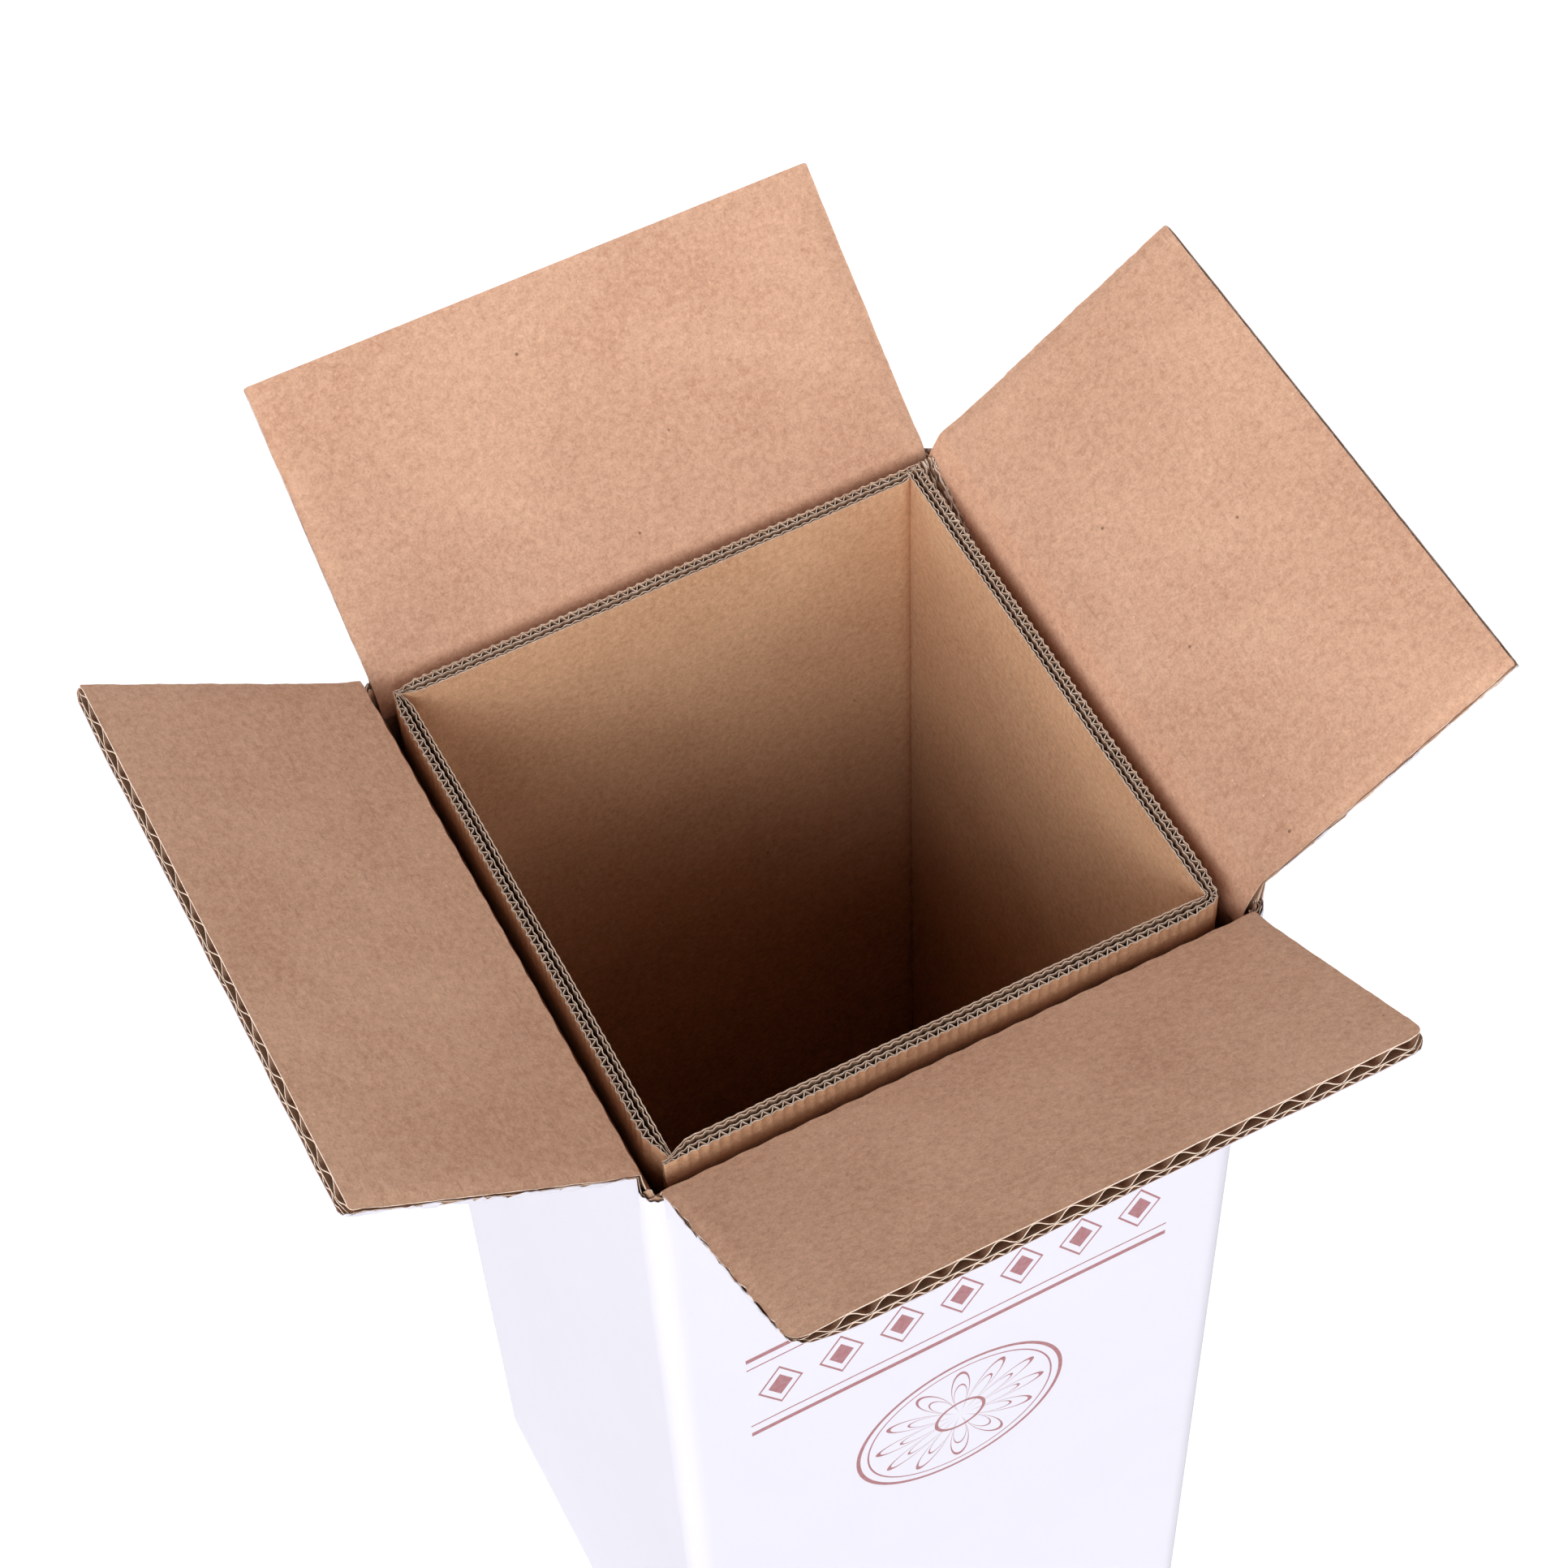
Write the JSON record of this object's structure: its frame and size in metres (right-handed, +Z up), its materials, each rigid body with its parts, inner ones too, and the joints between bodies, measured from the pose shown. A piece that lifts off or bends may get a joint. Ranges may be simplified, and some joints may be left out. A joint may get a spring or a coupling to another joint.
{
  "type": "bottle shipping box",
  "caption": "Tall square corrugated shipping box for a bottle, standing open, with a double wall liner sleeve inside and top flaps that turn on their creases",
  "frame": {"origin": "middle of the box's base, on the surface that it stands on", "axes": "+Z up along the height, +X to the right seen from the front, -Y out of the front panel; left and right flaps are at -X and +X"},
  "size_m": [0.217, 0.2158, 0.3475],
  "materials": {
    "white_coated_board": "white coated paper outside, kraft inside",
    "kraft_board": "uncoated kraft paper"
  },
  "bodies": {
    "carton": {"carton_body": "white_coated_board", "liner": "kraft_board"},
    "front_flap": {"flap_front": "kraft_board"},
    "back_flap": {"flap_back": "kraft_board"},
    "left_flap": {"flap_left": "kraft_board"},
    "right_flap": {"flap_right": "kraft_board"}
  },
  "joints": [
    {"name": "front_crease", "type": "hinge", "parent": "carton", "child": "front_flap", "pos_m": [0, -0.0584, 0.3107], "axis": [1, 0, 0], "range_deg": [-146.9, 40.1]},
    {"name": "back_crease", "type": "hinge", "parent": "carton", "child": "back_flap", "pos_m": [0, 0.0584, 0.3107], "axis": [-1, 0, 0], "range_deg": [-142.8, 44.2]},
    {"name": "left_crease", "type": "hinge", "parent": "carton", "child": "left_flap", "pos_m": [-0.0584, 0, 0.315], "axis": [0, -1, 0], "range_deg": [-146.7, 40.3]},
    {"name": "right_crease", "type": "hinge", "parent": "carton", "child": "right_flap", "pos_m": [0.0584, 0, 0.315], "axis": [0, 1, 0], "range_deg": [-144.7, 42.3]}
  ]
}
